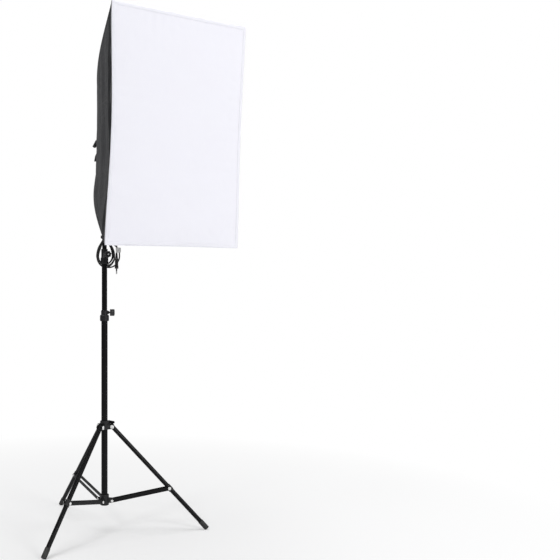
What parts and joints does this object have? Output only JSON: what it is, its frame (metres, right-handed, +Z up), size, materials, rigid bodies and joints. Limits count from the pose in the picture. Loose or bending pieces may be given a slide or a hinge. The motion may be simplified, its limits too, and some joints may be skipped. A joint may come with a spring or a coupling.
{
  "type": "studio softbox on light stand",
  "caption": "Rectangular studio softbox with white diffuser and black shell on a three-section tripod light stand, with tilting lamp holder and a coiled mains lead.",
  "frame": {"origin": "on the floor, under the middle of the footprint box, cord left out", "axes": "+Z up along the column, -Y the way the softbox faces, +X to the right of someone standing behind the softbox and looking along it"},
  "size_m": [0.635, 0.8382, 1.6756],
  "materials": {
    "black_tube": "satin black powder coat",
    "black_plastic": "moulded, fine texture",
    "white_rivet": "smooth white",
    "bright_metal": "bright plated",
    "bulb_glass": "opal white",
    "glass_fibre": "black glass fibre rod",
    "black_cloth": "coated nylon, fine plain weave",
    "white_cloth": "translucent white nylon",
    "cord_black": "satin PVC",
    "label_grey": "blank paper label"
  },
  "bodies": {
    "column": {"lower_tube": "black_tube", "bottom_hub": "black_plastic", "hub_rivet_a": "white_rivet", "hub_rivet_b": "white_rivet", "hub_rivet_c": "white_rivet", "lower_clamp": "black_plastic"},
    "lower_knob": {"lower_clamp_knob": "black_plastic"},
    "collar": {"leg_collar": "black_plastic", "collar_rivet_a": "white_rivet", "collar_rivet_b": "white_rivet", "collar_rivet_c": "white_rivet"},
    "collar_knob": {"collar_wing": "black_plastic"},
    "middle": {"middle_tube": "black_tube", "upper_clamp": "black_plastic"},
    "upper_knob": {"upper_clamp_knob": "black_plastic"},
    "upper": {"upper_tube": "black_tube", "top_stud": "bright_metal"},
    "head_base": {"tilt_yoke": "black_plastic", "tilt_pivot_cap": "bright_metal", "cord_lead": "cord_black", "cord_hank": "cord_black", "cord_strap": "black_cloth", "cord_tail": "cord_black", "plug_body": "black_plastic", "cord_tag": "label_grey"},
    "socket_lever": {"socket_lever": "black_plastic"},
    "tilt_lever": {"tilt_lever": "black_plastic"},
    "head": {"lamp_holder": "black_plastic", "rear_cap": "black_plastic", "cable_gland": "black_plastic", "bulb_socket": "black_plastic", "bulb_cap": "bright_metal", "bulb": "bulb_glass", "rod_hub": "black_plastic", "rib_top_left": "glass_fibre", "rib_top_right": "glass_fibre", "rib_bottom_left": "glass_fibre", "rib_bottom_right": "glass_fibre", "panel_left": "black_cloth", "panel_right": "black_cloth", "panel_top": "black_cloth", "panel_bottom": "black_cloth", "front_diffuser": "white_cloth"},
    "switch": {"power_switch": "black_plastic"},
    "leg_a": {"leg_tube_a": "black_tube", "foot_a": "black_plastic", "leg_clip_a": "black_plastic"},
    "brace_a": {"brace_bar_a_left": "black_tube", "brace_bar_a_right": "black_tube"},
    "leg_b": {"leg_tube_b": "black_tube", "foot_b": "black_plastic", "leg_clip_b": "black_plastic"},
    "brace_b": {"brace_bar_b_left": "black_tube", "brace_bar_b_right": "black_tube"},
    "leg_c": {"leg_tube_c": "black_tube", "foot_c": "black_plastic", "leg_clip_c": "black_plastic"},
    "brace_c": {"brace_bar_c_left": "black_tube", "brace_bar_c_right": "black_tube"}
  },
  "joints": [
    {"name": "collar_slide", "type": "slide", "parent": "column", "child": "collar", "axis": [0, 0, 1], "range_m": [0, 0.24088]},
    {"name": "leg_a_hinge", "type": "hinge", "parent": "collar", "child": "leg_a", "pos_m": [0.0291, 0.03989, 0.36], "axis": [0.5299, 0.848, 0], "range_deg": [0, 42.96]},
    {"name": "leg_b_hinge", "type": "hinge", "parent": "collar", "child": "leg_b", "pos_m": [0.00714, 0.08118, 0.36], "axis": [-0.9994, 0.0349, 0], "range_deg": [0, 42.96]},
    {"name": "leg_c_hinge", "type": "hinge", "parent": "collar", "child": "leg_c", "pos_m": [-0.01764, 0.04152, 0.36], "axis": [0.4695, -0.8829, 0], "range_deg": [0, 42.96]},
    {"name": "brace_a_hinge", "type": "hinge", "parent": "column", "child": "brace_a", "pos_m": [0.0291, 0.03989, 0.102], "axis": [-0.5299, -0.848, 0], "range_deg": [0, 77.94]},
    {"name": "brace_b_hinge", "type": "hinge", "parent": "column", "child": "brace_b", "pos_m": [0.00714, 0.08118, 0.102], "axis": [0.9994, -0.0349, 0], "range_deg": [0, 77.94]},
    {"name": "brace_c_hinge", "type": "hinge", "parent": "column", "child": "brace_c", "pos_m": [-0.01764, 0.04152, 0.102], "axis": [-0.4695, 0.8829, 0], "range_deg": [0, 77.94]},
    {"name": "collar_lock_turn", "type": "hinge", "parent": "collar", "child": "collar_knob", "pos_m": [0.03269, 0.06828, 0.371], "axis": [0.8829, 0.4695, 0], "range_deg": [0, 180]},
    {"name": "middle_slide", "type": "slide", "parent": "column", "child": "middle", "axis": [0, 0, 1], "range_m": [-0.12, 0.385]},
    {"name": "lower_clamp_turn", "type": "hinge", "parent": "column", "child": "lower_knob", "pos_m": [0.0274, 0.04095, 0.759], "axis": [0.848, -0.5299, 0], "range_deg": [0, 270]},
    {"name": "upper_slide", "type": "slide", "parent": "middle", "child": "upper", "axis": [0, 0, 1], "range_m": [-0.015, 0.295]},
    {"name": "upper_clamp_turn", "type": "hinge", "parent": "middle", "child": "upper_knob", "pos_m": [0.00315, 0.02939, 0.962], "axis": [-0.1219, -0.9925, 0], "range_deg": [0, 270]},
    {"name": "head_swivel", "type": "hinge", "parent": "upper", "child": "head_base", "pos_m": [0.0062, 0.0542, 1.27], "axis": [0, 0, 1], "range_deg": [-60, 60]},
    {"name": "socket_lock_turn", "type": "hinge", "parent": "head_base", "child": "socket_lever", "pos_m": [-0.0168, 0.0542, 1.295], "axis": [1, 0, 0], "range_deg": [0, 90]},
    {"name": "tilt_lock_turn", "type": "hinge", "parent": "head_base", "child": "tilt_lever", "pos_m": [-0.0218, 0.0542, 1.353], "axis": [1, 0, 0], "range_deg": [0, 90]},
    {"name": "head_tilt", "type": "hinge", "parent": "head_base", "child": "head", "pos_m": [0.0062, 0.0542, 1.353], "axis": [-1, 0, 0], "range_deg": [-30, 30], "deforming": ["cord_lead"]},
    {"name": "power_switch_rock", "type": "hinge", "parent": "head", "child": "switch", "pos_m": [0.0062, 0.06723, 1.36129], "axis": [1, 0, 0], "range_deg": [-7, 7]}
  ],
  "couplings": [
    {"joint": "leg_a_hinge", "follows": "collar_slide", "rad_per_m": 3.1126},
    {"joint": "leg_b_hinge", "follows": "collar_slide", "rad_per_m": 3.1126},
    {"joint": "leg_c_hinge", "follows": "collar_slide", "rad_per_m": 3.1126},
    {"joint": "brace_a_hinge", "follows": "collar_slide", "rad_per_m": 5.6465},
    {"joint": "brace_b_hinge", "follows": "collar_slide", "rad_per_m": 5.6465},
    {"joint": "brace_c_hinge", "follows": "collar_slide", "rad_per_m": 5.6465}
  ]
}
